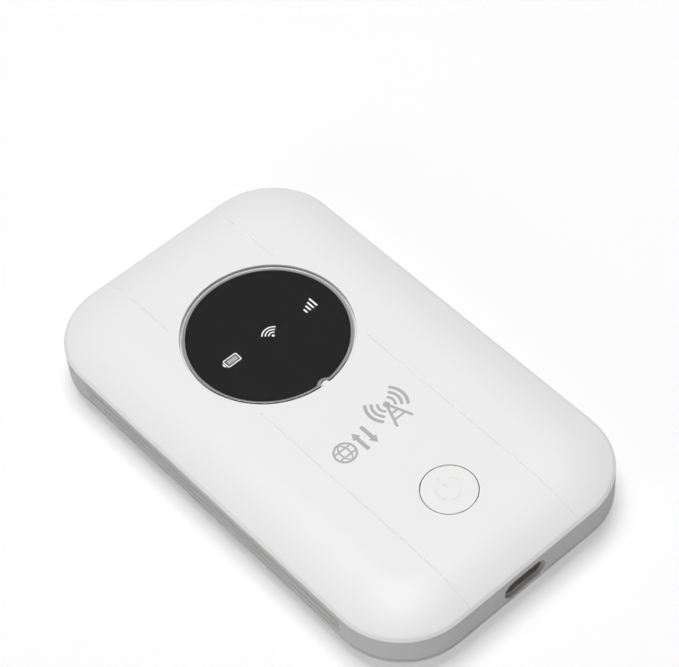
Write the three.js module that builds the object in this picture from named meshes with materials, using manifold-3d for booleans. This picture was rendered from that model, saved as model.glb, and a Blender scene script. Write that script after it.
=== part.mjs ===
// A pocket mobile hotspot: white clamshell housing with a round status window, a power button,
// a removable back cover and battery, a SIM holder and the circuit board that carries them.
// Millimetres. Origin at the centre of the underside, +Z up through the window,
// +Y towards the window end, -Y towards the charging socket.
import * as THREE from 'three';
import { mergeVertices } from 'three/addons/utils/BufferGeometryUtils.js';
import Module from 'manifold-3d';

const wasm = await Module();
wasm.setup();

// ---- Driving dimensions ----
const HALF_W = 29; // half the width across X
const HALF_L = 48.45; // half the length along Y
const HEIGHT = 12.8;
const CORNER_R = 13.5;
const CROWN_REACH = 11.3; // how far in from the outline the top and underside curve
const TOP_DROP = 2.94; // fall of the crowned top at the outline
const BASE_RISE = 2.9; // rise of the crowned underside at the outline
const SKIN = 1.3; // front shell thickness
const COVER_SKIN = 1.2; // back cover thickness
const EDGE_BEVEL = 0.53; // bevel round the top edge of the front shell

const SMALL_GAP = 0.05; // between pieces that lie face to face
const THROUGH = 1; // how far a cutter runs on past the face it opens

const SHELL_RIM_Z = 9.4; // lower rim of the front shell
const WALL_TOP_Z = SHELL_RIM_Z - SMALL_GAP; // upper rim of the rear housing
const WALL_FOOT_Z = 4.05; // lower rim of the rear housing
const COVER_RIM_Z = WALL_FOOT_Z - SMALL_GAP; // upper rim of the back cover
const WALL_T = 1.7; // side wall thickness

const RIB_PITCH = 1.85; // finger ribs along both long sides
const RIB_CREST_Z = 8.07;
const RIB_DEPTH = 0.55;
const RIB_PANEL_INSET = 0.1;
const RIB_HALF_LENGTH = 33.6;
const RIB_FADE = 0.7; // the ribs run out over this length at each end

const WINDOW_Y = 16.9; // round status window
const WINDOW_R = 15.75;
const MASK_R = 14.8;
const WINDOW_HOLE_R = 13.6;
const WINDOW_LEDGE_Z = 11.9;
const LENS_GAP = 0.3; // clear space round the lens
const KEY_R = 0.75; // key on the window's rim that sets the lens's turn

const BUTTON_Y = -29.93; // power button
const BUTTON_R = 4.94;
const BUTTON_GAP = 0.15;

const GROOVE_X = 12.4; // pinstripe grooves along the top
const GROOVE_HALF = 0.16;
const GROOVE_STOP_R = 17.8; // the grooves stop this far from the window's centre

const PORT_X = -0.4; // charging socket
const PORT_Z = 6.15;
const PORT_CUT_W = 9.4;
const PORT_CUT_H = 3.9;

const LEDGE_Z = [3.5, 4.3]; // floor of the rear housing round the battery bay
const BAY_ROOF_Z = [6.7, 7.5];
const BATTERY = { halfW: 21, y0: -38.2, y1: 20, z0: 1.7, z1: 6.3 };
const BAY_GAP = 0.35;
const BAY_WALL = 0.9;

const SIM_BAY = { x0: -18, x1: 17, y0: 24.7, y1: 43.3 };
const BOARD_Z = [7.85, 8.65];
const SCREW_X = 22.3;
const SCREW_Y = 41;
const SCREW = { headR: 1.65, shankR: 0.8, headZ: [3.8, 4.9], tipZ: 10 };

// ---- Materials ----
function paint(color, roughness, metalness = 0, extra = {}) {
  return new THREE.MeshStandardMaterial({ color, roughness, metalness, ...extra });
}
const WHITE_PLASTIC = paint(0xededec, 0.32);
const BUTTON_PLASTIC = paint(0xf0f0ef, 0.3);
const CLEAR_PLASTIC = paint(0xdfe3e6, 0.06, 0, { transparent: true, opacity: 0.35 });
const BLACK_INK = paint(0x1b1b1c, 0.35);
const TAPE = paint(0xb9babb, 0.7);
const MILKY_FILM = paint(0xf4f4f0, 0.6);
const BLACK_PLASTIC = paint(0x202022, 0.6);
const LED_BODY = paint(0xf2ecd2, 0.35);
const BOARD_GREEN = paint(0x1c5b3c, 0.5);
const SHIELD_STEEL = paint(0xc4c6c8, 0.35, 0.9);
const CHIP_EPOXY = paint(0x26272a, 0.7);
const SOCKET_STEEL = paint(0xb4b7ba, 0.3, 0.95);
const GOLD = paint(0xd6b25c, 0.3, 0.95);
const CARD_WHITE = paint(0xf3f3f1, 0.45);
const BATTERY_WRAP = paint(0xa9adb2, 0.45, 0.3);
const SCREW_STEEL = paint(0x8f9296, 0.35, 0.9);

// ---- Solids ----
function toSolid(geometry) {
  const plain = (geometry.index ? geometry.toNonIndexed() : geometry).clone();
  plain.deleteAttribute('normal');
  plain.deleteAttribute('uv');
  const merged = mergeVertices(plain, 1e-4);
  const mesh = new wasm.Mesh({
    numProp: 3,
    vertProperties: new Float32Array(merged.attributes.position.array),
    triVerts: new Uint32Array(merged.index.array),
  });
  return new wasm.Manifold(mesh);
}

function toGeometry(solid) {
  const mesh = solid.getMesh();
  const geometry = new THREE.BufferGeometry();
  geometry.setAttribute('position', new THREE.BufferAttribute(new Float32Array(mesh.vertProperties), 3));
  geometry.setIndex(new THREE.BufferAttribute(new Uint32Array(mesh.triVerts), 1));
  geometry.computeVertexNormals();
  return geometry;
}

function slab(shape, z0, z1, curveSegments = 8) {
  const geometry = new THREE.ExtrudeGeometry(shape, { depth: z1 - z0, bevelEnabled: false, curveSegments });
  return toSolid(geometry.translate(0, 0, z0));
}

function box(x0, x1, y0, y1, z0, z1) {
  const geometry = new THREE.BoxGeometry(x1 - x0, y1 - y0, z1 - z0);
  return toSolid(geometry.translate((x0 + x1) / 2, (y0 + y1) / 2, (z0 + z1) / 2));
}

function rod(x, y, radius, z0, z1, segments = 24) {
  const geometry = new THREE.CylinderGeometry(radius, radius, z1 - z0, segments);
  return toSolid(geometry.rotateX(Math.PI / 2).translate(x, y, (z0 + z1) / 2));
}

function roundedShape(x0, x1, y0, y1, r) {
  const shape = new THREE.Shape();
  shape.moveTo(x0 + r, y0);
  shape.lineTo(x1 - r, y0);
  shape.absarc(x1 - r, y0 + r, r, -Math.PI / 2, 0);
  shape.lineTo(x1, y1 - r);
  shape.absarc(x1 - r, y1 - r, r, 0, Math.PI / 2);
  shape.lineTo(x0 + r, y1);
  shape.absarc(x0 + r, y1 - r, r, Math.PI / 2, Math.PI);
  shape.lineTo(x0, y0 + r);
  shape.absarc(x0 + r, y0 + r, r, Math.PI, 1.5 * Math.PI);
  return shape;
}

function roundedSlab(x0, x1, y0, y1, r, z0, z1, curveSegments = 5) {
  return slab(roundedShape(x0, x1, y0, y1, r), z0, z1, curveSegments);
}

// ---- The hand-held outline and shapes lofted on it ----
const ARC_STEPS = 7;

// One loop of the outline, moved in by inset; ribDepth presses in the long sides between the corners.
function outlineLoop(inset, z, ribDepth = 0) {
  const points = [];
  const radius = CORNER_R - inset;
  const centreX = HALF_W - CORNER_R;
  const centreY = HALF_L - CORNER_R;
  for (let corner = 0; corner < 4; corner += 1) {
    const signX = corner === 0 || corner === 3 ? 1 : -1;
    const signY = corner < 2 ? 1 : -1;
    for (let step = 0; step <= ARC_STEPS; step += 1) {
      const angle = (corner + step / ARC_STEPS) * (Math.PI / 2);
      const x = signX * centreX + radius * Math.cos(angle);
      const y = signY * centreY + radius * Math.sin(angle);
      points.push(new THREE.Vector3(x, y, z));
    }
    if (corner === 1 || corner === 3) {
      const side = corner === 1 ? -1 : 1;
      const ends = [RIB_HALF_LENGTH + RIB_FADE, RIB_HALF_LENGTH];
      for (const along of [...ends, -ends[1], -ends[0]]) {
        const pressed = Math.abs(along) > RIB_HALF_LENGTH ? 0 : ribDepth;
        points.push(new THREE.Vector3(side * (HALF_W - inset - pressed), -side * along, z));
      }
    }
  }
  return points;
}

// Joins loops of equal length into a closed solid, with the two ends capped or joined to each other.
function loft(loops, joined = false) {
  const count = loops[0].length;
  const positions = [];
  const quad = (a, b, c, d) => positions.push(a, b, c, a, c, d);
  const last = joined ? loops.length : loops.length - 1;
  for (let i = 0; i < last; i += 1) {
    const lower = loops[i];
    const upper = loops[(i + 1) % loops.length];
    for (let k = 0; k < count; k += 1) {
      const next = (k + 1) % count;
      quad(lower[k], lower[next], upper[next], upper[k]);
    }
  }
  if (!joined) {
    const first = loops[0];
    const final = loops[loops.length - 1];
    const flat = first.map((p) => new THREE.Vector2(p.x, p.y));
    for (const [a, b, c] of THREE.ShapeUtils.triangulateShape(flat, [])) {
      positions.push(first[a], first[c], first[b]);
      positions.push(final[a], final[b], final[c]);
    }
  }
  const geometry = new THREE.BufferGeometry().setFromPoints(positions);
  return toSolid(geometry);
}

function crownTop(inset) {
  const rest = Math.max(0, 1 - inset / CROWN_REACH);
  return HEIGHT - TOP_DROP * rest * rest;
}

function crownBase(inset) {
  const rest = Math.max(0, 1 - inset / CROWN_REACH);
  return BASE_RISE * rest * rest;
}

function ribDepthAt(z) {
  const wave = (1 - Math.cos((2 * Math.PI * (z - RIB_CREST_Z)) / RIB_PITCH)) / 2;
  return RIB_PANEL_INSET + RIB_DEPTH * wave;
}

// ---- Assembly ----
const hotspot = new THREE.Group();

function add(name, solid, material) {
  const mesh = new THREE.Mesh(toGeometry(solid), material);
  mesh.name = name;
  hotspot.add(mesh);
}

const SCREW_PLACES = [
  [SCREW_X, SCREW_Y],
  [-SCREW_X, SCREW_Y],
  [-SCREW_X, -SCREW_Y],
  [SCREW_X, -SCREW_Y],
];

// ---- Front shell ----
const CROWN_STEPS = [3, 4.6, 6.4, 8.6, CROWN_REACH];
const SHELL_WALL_T = 1.87; // the front shell's rim, a little thicker than the rear wall
const SHELL_BOSS = { r: 2.2, z: [8.75, 10.6], holeR: 0.95, holeZ: [8, 10.2] };
const WINDOW_RING = { reach: 1, z: [10.9, 12] }; // thickening under the window's ledge

function grooveCutter(x, fromY, toY) {
  const along = Math.sign(toY - fromY);
  const points = [];
  for (const inset of [0.35, 1.6, ...CROWN_STEPS]) {
    points.push(new THREE.Vector3(x, fromY + along * inset, crownTop(inset)));
  }
  points.push(new THREE.Vector3(x, toY, HEIGHT));
  const path = new THREE.CurvePath();
  for (let i = 1; i < points.length; i += 1) {
    path.add(new THREE.LineCurve3(points[i - 1], points[i]));
  }
  const diamond = new THREE.Shape();
  diamond.moveTo(GROOVE_HALF, 0);
  diamond.lineTo(0, GROOVE_HALF);
  diamond.lineTo(-GROOVE_HALF, 0);
  diamond.lineTo(0, -GROOVE_HALF);
  const geometry = new THREE.ExtrudeGeometry(diamond, { steps: 16, extrudePath: path });
  return toSolid(geometry);
}

// Round plate at the window with a bite for the key, so the lens and its recess share one outline.
function keyedDisc(radius, keyRadius, z0, z1) {
  const disc = rod(0, WINDOW_Y, radius, z0, z1, 60);
  const key = rod(0, WINDOW_Y - WINDOW_R, keyRadius, z0 - THROUGH, z1 + THROUGH, 20);
  return disc.subtract(key);
}

function frontShell() {
  const loops = [];
  for (const inset of [SHELL_WALL_T, ...CROWN_STEPS].reverse()) {
    loops.push(outlineLoop(inset, crownTop(inset) - SKIN));
  }
  loops.push(outlineLoop(SHELL_WALL_T, SHELL_RIM_Z));
  loops.push(outlineLoop(0, SHELL_RIM_Z));
  loops.push(outlineLoop(0, crownTop(EDGE_BEVEL) - EDGE_BEVEL));
  for (const inset of [EDGE_BEVEL, 1.6, ...CROWN_STEPS]) {
    loops.push(outlineLoop(inset, crownTop(inset)));
  }
  let shell = loft(loops);
  shell = shell.add(rod(0, WINDOW_Y, WINDOW_R + WINDOW_RING.reach, ...WINDOW_RING.z, 48));
  for (const [x, y] of SCREW_PLACES) {
    shell = shell.add(rod(x, y, SHELL_BOSS.r, ...SHELL_BOSS.z));
    shell = shell.subtract(rod(x, y, SHELL_BOSS.holeR, ...SHELL_BOSS.holeZ, 16));
  }
  const below = HEIGHT - TOP_DROP - SKIN; // clear of the shell's underside
  const above = HEIGHT + THROUGH;
  shell = shell.subtract(keyedDisc(WINDOW_R, KEY_R, WINDOW_LEDGE_Z, above));
  shell = shell.subtract(rod(0, WINDOW_Y, WINDOW_HOLE_R, below, above, 48));
  shell = shell.subtract(rod(0, BUTTON_Y, BUTTON_R + BUTTON_GAP, below, above, 48));
  const reach = Math.sqrt(GROOVE_STOP_R ** 2 - GROOVE_X ** 2);
  for (const x of [-GROOVE_X, GROOVE_X]) {
    shell = shell.subtract(grooveCutter(x, -HALF_L, WINDOW_Y - reach));
    shell = shell.subtract(grooveCutter(x, HALF_L, WINDOW_Y + reach));
  }
  return shell;
}
add('front_shell', frontShell(), WHITE_PLASTIC);

// ---- Rear housing ----
const LIP_INSET = [1.55, 2.5]; // ring that the back cover's rim fits round
const CLIP_Y = [-27, 0, 27]; // snap tabs along each long side
const CLIP_INSET = [3, 3.7];
const CLIP = { halfL: 3, z: [2.4, 5.6] };
const CLIP_SLOT = { outward: 0.3, inward: 0.4, along: 0.4, depth: 0.5 };
const LIP_TOP_Z = LEDGE_Z[1] + 0.9;
const HOUSING_BOSS = { r: 2.6, topZ: 7.75, holeR: 1, headHoleR: 1.95, seatZ: 5 };
const BOARD_REST = { places: [[-18, -34], [18, -34], [-18, 16], [18, 16]], r: 1.2, z: [7.2, 7.8] };
const SIM_BAY_TOP_Z = 7.6;
const BAY = {
  x: BATTERY.halfW + BAY_GAP,
  y0: BATTERY.y0 - BAY_GAP,
  y1: BATTERY.y1 + BAY_GAP,
};
const CONNECTOR = {
  halfW: 7,
  y0: BAY.y1 + 0.2,
  y1: BAY.y1 + 3.2,
  z0: 3.9,
  z1: BOARD_Z[0] - SMALL_GAP,
  room: 0.3, // between the contact block and the opening it stands in
};

function stadium(centreX, centreZ, width, height) {
  const r = height / 2;
  const shape = new THREE.Shape();
  shape.moveTo(centreX - width / 2 + r, centreZ - r);
  shape.lineTo(centreX + width / 2 - r, centreZ - r);
  shape.absarc(centreX + width / 2 - r, centreZ, r, -Math.PI / 2, Math.PI / 2);
  shape.lineTo(centreX - width / 2 + r, centreZ + r);
  shape.absarc(centreX - width / 2 + r, centreZ, r, Math.PI / 2, 1.5 * Math.PI);
  return shape;
}

// A prism of an outline drawn in X and Z, running along Y.
function alongY(shape, y0, y1, curveSegments = 8) {
  const geometry = new THREE.ExtrudeGeometry(shape, { depth: y1 - y0, bevelEnabled: false, curveSegments });
  return toSolid(geometry.rotateX(Math.PI / 2).translate(0, y1, 0));
}

function rearHousing() {
  const wall = [];
  const steps = 14;
  const ribTop = RIB_CREST_Z + 0.3;
  for (let i = 0; i <= steps; i += 1) {
    const z = WALL_FOOT_Z + ((ribTop - WALL_FOOT_Z) * i) / steps;
    wall.push(outlineLoop(0, z, ribDepthAt(z)));
  }
  wall.push(outlineLoop(0, ribTop + 0.15));
  wall.push(outlineLoop(0, WALL_TOP_Z));
  wall.push(outlineLoop(WALL_T, WALL_TOP_Z));
  wall.push(outlineLoop(WALL_T, WALL_FOOT_Z));
  let body = loft(wall, true);

  const lip = [
    outlineLoop(LIP_INSET[0], LEDGE_Z[0]),
    outlineLoop(LIP_INSET[0], LIP_TOP_Z),
    outlineLoop(LIP_INSET[1], LIP_TOP_Z),
    outlineLoop(LIP_INSET[1], LEDGE_Z[0]),
  ];
  body = body.add(loft(lip, true));
  body = body.add(loft([outlineLoop(LIP_INSET[0], LEDGE_Z[0]), outlineLoop(LIP_INSET[0], LEDGE_Z[1])]));

  const grown = (x0, x1, y0, y1, top) => roundedSlab(
    x0 - BAY_WALL, x1 + BAY_WALL, y0 - BAY_WALL, y1 + BAY_WALL, 1.6, LEDGE_Z[0], top,
  );
  body = body.add(grown(-BAY.x, BAY.x, BAY.y0, BAY.y1, BAY_ROOF_Z[1]));
  const underLedge = LEDGE_Z[0] - THROUGH;
  body = body.subtract(roundedSlab(-BAY.x, BAY.x, BAY.y0, BAY.y1, 0.8, underLedge, BAY_ROOF_Z[0]));

  // SIM bay: a walled opening that reaches the underside of the circuit board.
  const { x0, x1, y0, y1 } = SIM_BAY;
  body = body.add(grown(x0, x1, y0, y1, SIM_BAY_TOP_Z));
  body = body.subtract(roundedSlab(x0, x1, y0, y1, 0.8, underLedge, BOARD_Z[0]));

  for (const [x, y] of SCREW_PLACES) {
    const boss = HOUSING_BOSS;
    body = body.add(rod(x, y, boss.r, LEDGE_Z[0], boss.topZ));
    body = body.subtract(rod(x, y, boss.holeR, underLedge, BOARD_Z[0], 16));
    body = body.subtract(rod(x, y, boss.headHoleR, underLedge, boss.seatZ, 20));
  }

  // Rests that hold the circuit board off the bay's roof.
  for (const [x, y] of BOARD_REST.places) {
    body = body.add(rod(x, y, BOARD_REST.r, ...BOARD_REST.z, 12));
  }

  // Opening for the battery's contact block, through the bay's wall.
  const blockX = CONNECTOR.halfW + CONNECTOR.room;
  const blockY = CONNECTOR.y1 + CONNECTOR.room;
  body = body.subtract(box(-blockX, blockX, BAY.y1 - 0.1, blockY, underLedge, BOARD_Z[0]));

  // Slots for the back cover's snap tabs.
  for (const side of [-1, 1]) {
    for (const y of CLIP_Y) {
      const near = side * (HALF_W - CLIP_INSET[0] + CLIP_SLOT.outward);
      const far = side * (HALF_W - CLIP_INSET[1] - CLIP_SLOT.inward);
      const [x0, x1] = [Math.min(near, far), Math.max(near, far)];
      const half = CLIP.halfL + CLIP_SLOT.along;
      const top = LEDGE_Z[1] + CLIP_SLOT.depth;
      body = body.subtract(box(x0, x1, y - half, y + half, underLedge, top));
    }
  }

  const port = stadium(PORT_X, PORT_Z, PORT_CUT_W, PORT_CUT_H);
  return body.subtract(alongY(port, -HALF_L - THROUGH, -HALF_L + LIP_INSET[1] + 0.5));
}
add('rear_housing', rearHousing(), WHITE_PLASTIC);

// ---- Back cover ----
const COVER_RIM_T = 1.3;
const COVER_EDGE = 0.4; // the underside's curve ends this far in from the outline and turns up
const NAIL_NOTCH = { outside: 0.6, y: 30, r: 1.5, z: [3.3, 5] };

function backCover() {
  const loops = [];
  for (const inset of [COVER_EDGE, 1.6, ...CROWN_STEPS].reverse()) {
    loops.push(outlineLoop(inset, crownBase(inset)));
  }
  const edgeZ = crownBase(COVER_EDGE);
  loops.push(outlineLoop(COVER_EDGE / 4, edgeZ + 0.25));
  loops.push(outlineLoop(0, edgeZ + 0.55));
  loops.push(outlineLoop(0, COVER_RIM_Z));
  loops.push(outlineLoop(COVER_RIM_T, COVER_RIM_Z));
  for (const inset of [COVER_RIM_T, ...CROWN_STEPS]) {
    loops.push(outlineLoop(inset, crownBase(inset) + COVER_SKIN));
  }
  let cover = loft(loops);
  for (const side of [-1, 1]) {
    for (const y of CLIP_Y) {
      const xs = CLIP_INSET.map((inset) => side * (HALF_W - inset)).sort((a, b) => a - b);
      cover = cover.add(box(xs[0], xs[1], y - CLIP.halfL, y + CLIP.halfL, ...CLIP.z));
    }
  }
  // Fingernail notch in the rim for lifting the cover off.
  const { outside, y, r, z } = NAIL_NOTCH;
  return cover.subtract(rod(HALF_W + outside, y, r, ...z, 20));
}
add('back_cover', backCover(), WHITE_PLASTIC);

// ---- Window ----
const LENS_R = WINDOW_R - LENS_GAP;
const LENS_KEY_R = KEY_R + 0.25;
const TAPE_Z = [WINDOW_LEDGE_Z + SMALL_GAP, WINDOW_LEDGE_Z + SMALL_GAP + 0.1];
const MASK_Z = [TAPE_Z[1] + SMALL_GAP, TAPE_Z[1] + SMALL_GAP + 0.08];
const LENS_Z = [MASK_Z[1] + SMALL_GAP, HEIGHT - 0.2];
const MASK_KEY_R = 1.7;

function lensTape() {
  const disc = keyedDisc(LENS_R - 0.1, LENS_KEY_R + 0.1, ...TAPE_Z);
  return disc.subtract(rod(0, WINDOW_Y, WINDOW_HOLE_R + 0.1, WINDOW_LEDGE_Z, HEIGHT, 48));
}
add('lens_tape', lensTape(), TAPE);
add('display_mask', keyedDisc(MASK_R, MASK_KEY_R, ...MASK_Z), BLACK_INK);
add('display_lens', keyedDisc(LENS_R, LENS_KEY_R, ...LENS_Z), CLEAR_PLASTIC);

// The light shield is a lid on the circuit board, with a tube round each lamp.
const LED_PLACES = { battery: [-8.7, 16.8], wireless: [0, 16.9], signal: [9.4, 16.6] };
const LED = { halfW: 0.8, halfL: 0.4, height: 0.55 };
const SHIELD = { r: WINDOW_HOLE_R - 0.4, wall: 0.8, z: [8.8, 11.5], roofZ: 10.8 };
const LIGHT_TUBE = { r: 3, wall: 0.6, footZ: 9.3 };
const DIFFUSER_Z = [SHIELD.z[1] + 0.06, SHIELD.z[1] + 0.2];

function lightShield() {
  const lid = rod(0, WINDOW_Y, SHIELD.r, ...SHIELD.z, 40);
  const room = rod(0, WINDOW_Y, SHIELD.r - SHIELD.wall, SHIELD.z[0] - THROUGH, SHIELD.roofZ, 40);
  let shield = lid.subtract(room);
  const places = Object.values(LED_PLACES);
  for (const [x, y] of places) {
    shield = shield.add(rod(x, y, LIGHT_TUBE.r, LIGHT_TUBE.footZ, SHIELD.z[1]));
  }
  shield = shield.intersect(lid);
  for (const [x, y] of places) {
    shield = shield.subtract(rod(x, y, LIGHT_TUBE.r - LIGHT_TUBE.wall, SHIELD.z[0], HEIGHT));
  }
  return shield;
}
add('light_shield', lightShield(), BLACK_PLASTIC);
add('light_diffuser', rod(0, WINDOW_Y, SHIELD.r, ...DIFFUSER_Z, 40), MILKY_FILM);

const ON_BOARD = BOARD_Z[1] + SMALL_GAP;
for (const [name, [x, y]] of Object.entries(LED_PLACES)) {
  const lamp = box(-LED.halfW, LED.halfW, -LED.halfL, LED.halfL, ON_BOARD, ON_BOARD + LED.height);
  add(`led_${name}`, lamp.translate(x, y, 0), LED_BODY);
}

// ---- Power button and its switch ----
const SWITCH = { half: 2.25, topZ: 10 };
const PLUNGER = { r: 1.1, z: [10.35, 10.6] };
const FLANGE = { reach: 0.9, z: [10.85, 11.25] }; // keeps the button from coming out of the top
const STEM_R = 1.4;

function powerButton() {
  const foot = PLUNGER.z[1] + SMALL_GAP;
  const profile = [
    [0, foot],
    [STEM_R, foot],
    [STEM_R, FLANGE.z[0]],
    [BUTTON_R + FLANGE.reach, FLANGE.z[0]],
    [BUTTON_R + FLANGE.reach, FLANGE.z[1]],
    [BUTTON_R, FLANGE.z[1]],
    [BUTTON_R, HEIGHT - 0.2],
    [BUTTON_R - 0.15, HEIGHT - 0.05],
    [BUTTON_R - 0.5, HEIGHT],
    [0, HEIGHT],
  ];
  const geometry = new THREE.LatheGeometry(profile.map(([r, z]) => new THREE.Vector2(r, z)), 40);
  return toSolid(geometry.rotateX(Math.PI / 2).translate(0, BUTTON_Y, 0));
}
add('power_button', powerButton(), BUTTON_PLASTIC);
const switchBody = box(-SWITCH.half, SWITCH.half, -SWITCH.half, SWITCH.half, ON_BOARD, SWITCH.topZ);
add('power_switch_body', switchBody.translate(0, BUTTON_Y, 0), SHIELD_STEEL);
add('power_switch_plunger', rod(0, BUTTON_Y, PLUNGER.r, ...PLUNGER.z, 20), BLACK_PLASTIC);

// ---- Circuit board and what it carries ----
const BOARD = { halfW: 26, y0: -44.6, y1: 45.4, cornerR: 11, screwHoleR: 1.1 };

function mainBoard() {
  let board = roundedSlab(-BOARD.halfW, BOARD.halfW, BOARD.y0, BOARD.y1, BOARD.cornerR, ...BOARD_Z, 8);
  for (const [x, y] of SCREW_PLACES) {
    board = board.subtract(rod(x, y, BOARD.screwHoleR, BOARD_Z[0] - THROUGH, BOARD_Z[1] + THROUGH, 16));
  }
  return board;
}
add('main_board', mainBoard(), BOARD_GREEN);

// A pressed-steel can, open underneath.
function shieldCan(x0, x1, y0, y1, height) {
  const wall = 0.2;
  const top = ON_BOARD + height;
  const can = roundedSlab(x0, x1, y0, y1, 0.6, ON_BOARD, top, 3);
  const room = box(x0 + wall, x1 - wall, y0 + wall, y1 - wall, ON_BOARD - THROUGH, top - wall);
  return can.subtract(room);
}

const CAN_HEIGHT = 1.5;
add('baseband_shield', shieldCan(-22, -3, -20, -3, CAN_HEIGHT), SHIELD_STEEL);
add('radio_shield', shieldCan(1, 22, -16.5, -3.5, CAN_HEIGHT), SHIELD_STEEL);

// Each chip's centre x, centre y, width, length and height.
const CHIPS = {
  baseband_chip: [-12.5, -11.5, 12, 12, 0.9],
  radio_chip: [7.5, -10, 7, 7, 0.8],
  power_amplifier: [16, -10, 5, 4, 0.8],
  memory_chip: [15.5, -27, 10, 8, 0.9],
  charger_chip: [-14, -28, 5, 5, 0.8],
  crystal: [-14, -36, 3.2, 2.5, 0.7],
  inductor: [-20, -28, 4, 4, 1.5],
};
for (const [name, [x, y, w, l, h]] of Object.entries(CHIPS)) {
  const chip = box(x - w / 2, x + w / 2, y - l / 2, y + l / 2, ON_BOARD, ON_BOARD + h);
  add(name, chip, name === 'crystal' ? SHIELD_STEEL : CHIP_EPOXY);
}

// ---- Charging socket ----
const SOCKET = {
  width: 8.94,
  height: 3.26,
  wall: 0.3,
  backWall: 0.9,
  y0: -HALF_L + 0.5,
  y1: -HALF_L + 7.85,
};
const TONGUE = { halfW: 3.3, halfT: 0.35, setBack: 0.9, rootHalfW: 2.8, rootHalfT: 1.2, rootL: 1.4 };

function socketShell() {
  const inner = stadium(PORT_X, PORT_Z, SOCKET.width - 2 * SOCKET.wall, SOCKET.height - 2 * SOCKET.wall);
  const shell = alongY(stadium(PORT_X, PORT_Z, SOCKET.width, SOCKET.height), SOCKET.y0, SOCKET.y1);
  return shell.subtract(alongY(inner, SOCKET.y0 - THROUGH, SOCKET.y1 - SOCKET.backWall));
}
add('socket_shell', socketShell(), SOCKET_STEEL);

function socketTongue() {
  const t = TONGUE;
  const front = SOCKET.y0 + t.setBack;
  const back = SOCKET.y1 - SOCKET.backWall - SMALL_GAP;
  const blade = box(-t.halfW, t.halfW, front, back, -t.halfT, t.halfT);
  const root = box(-t.rootHalfW, t.rootHalfW, back - t.rootL, back, -t.rootHalfT, t.rootHalfT);
  return blade.add(root).translate(PORT_X, 0, PORT_Z);
}
add('socket_tongue', socketTongue(), BLACK_PLASTIC);

// ---- SIM holder ----
const SIM = { x0: -3, x1: 12, y0: 27, y1: 39, z0: 6.65, z1: 7.41, corner: 2.5 };
const UNDER_BOARD = BOARD_Z[0] - SMALL_GAP;

// Pressed cage over the card: open at -X, with a window and a thumb cut-out in its lower plate.
const CAGE = { x0: -1, x1: 14.4, wall: 0.4, sideGap: 0.2, endWall: 1.2, z0: 6.4 };
const CAGE_WINDOW = { x0: 1.5, x1: 10.4, edge: 2.6 };
const CAGE_THUMB = { x1: 0.6, edge: 3.4 };

function simHolder() {
  const { x0, x1, wall, sideGap, endWall, z0 } = CAGE;
  const room = [SIM.y0 - sideGap, SIM.y1 + sideGap];
  const through = [z0 - THROUGH, SIM.z0];
  let cage = box(x0, x1, room[0] - wall, room[1] + wall, z0, UNDER_BOARD);
  cage = cage.subtract(box(x0 - THROUGH, x1 - endWall, ...room, SIM.z0 - SMALL_GAP, UNDER_BOARD + THROUGH));
  const window = [SIM.y0 + CAGE_WINDOW.edge, SIM.y1 - CAGE_WINDOW.edge];
  cage = cage.subtract(box(CAGE_WINDOW.x0, CAGE_WINDOW.x1, ...window, ...through));
  const thumb = [SIM.y0 + CAGE_THUMB.edge, SIM.y1 - CAGE_THUMB.edge];
  return cage.subtract(box(x0 - THROUGH, CAGE_THUMB.x1, ...thumb, ...through));
}
add('sim_holder', simHolder(), SHIELD_STEEL);
add('sim_base', box(0, 13, SIM.y0, SIM.y1, SIM.z1 + SMALL_GAP, UNDER_BOARD), BLACK_PLASTIC);

function simCard() {
  const cut = SIM.corner;
  const shape = new THREE.Shape();
  shape.moveTo(SIM.x0, SIM.y0);
  shape.lineTo(SIM.x1, SIM.y0);
  shape.lineTo(SIM.x1, SIM.y1 - cut);
  shape.lineTo(SIM.x1 - cut, SIM.y1);
  shape.lineTo(SIM.x0, SIM.y1);
  shape.closePath();
  return slab(shape, SIM.z0, SIM.z1);
}
add('sim_card', simCard(), CARD_WHITE);

// ---- Reset switch, reached from the SIM bay ----
const RESET = { x: -13.5, y: 41.4, half: 1.6, bodyZ: 6.5, plungerR: 0.8, plungerZ: [5.9, 6.15] };
const resetBody = box(-RESET.half, RESET.half, -RESET.half, RESET.half, RESET.bodyZ, UNDER_BOARD);
add('reset_switch_body', resetBody.translate(RESET.x, RESET.y, 0), SHIELD_STEEL);
add('reset_plunger', rod(RESET.x, RESET.y, RESET.plungerR, ...RESET.plungerZ, 16), BLACK_PLASTIC);

// ---- Battery ----
const CAP_L = 3;
const CELL_EDGE_R = 1.4;
const CONTACT = { x: [-4, 0, 4], halfW: 1, recess: 0.4, room: 0.1, thickness: 0.2 };
const CONTACT_Z = [BATTERY.z0 + 1.1, BATTERY.z1 - 0.9];

function batteryCell() {
  const b = BATTERY;
  const shape = new THREE.Shape();
  const r = CELL_EDGE_R;
  const height = b.z1 - b.z0;
  shape.moveTo(-b.halfW + r, -height / 2);
  shape.lineTo(b.halfW - r, -height / 2);
  shape.absarc(b.halfW - r, -height / 2 + r, r, -Math.PI / 2, 0);
  shape.absarc(b.halfW - r, height / 2 - r, r, 0, Math.PI / 2);
  shape.absarc(-b.halfW + r, height / 2 - r, r, Math.PI / 2, Math.PI);
  shape.absarc(-b.halfW + r, -height / 2 + r, r, Math.PI, 1.5 * Math.PI);
  return alongY(shape, b.y0, b.y1 - CAP_L - SMALL_GAP, 5).translate(0, 0, (b.z0 + b.z1) / 2);
}
add('battery_cell', batteryCell(), BATTERY_WRAP);

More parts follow.
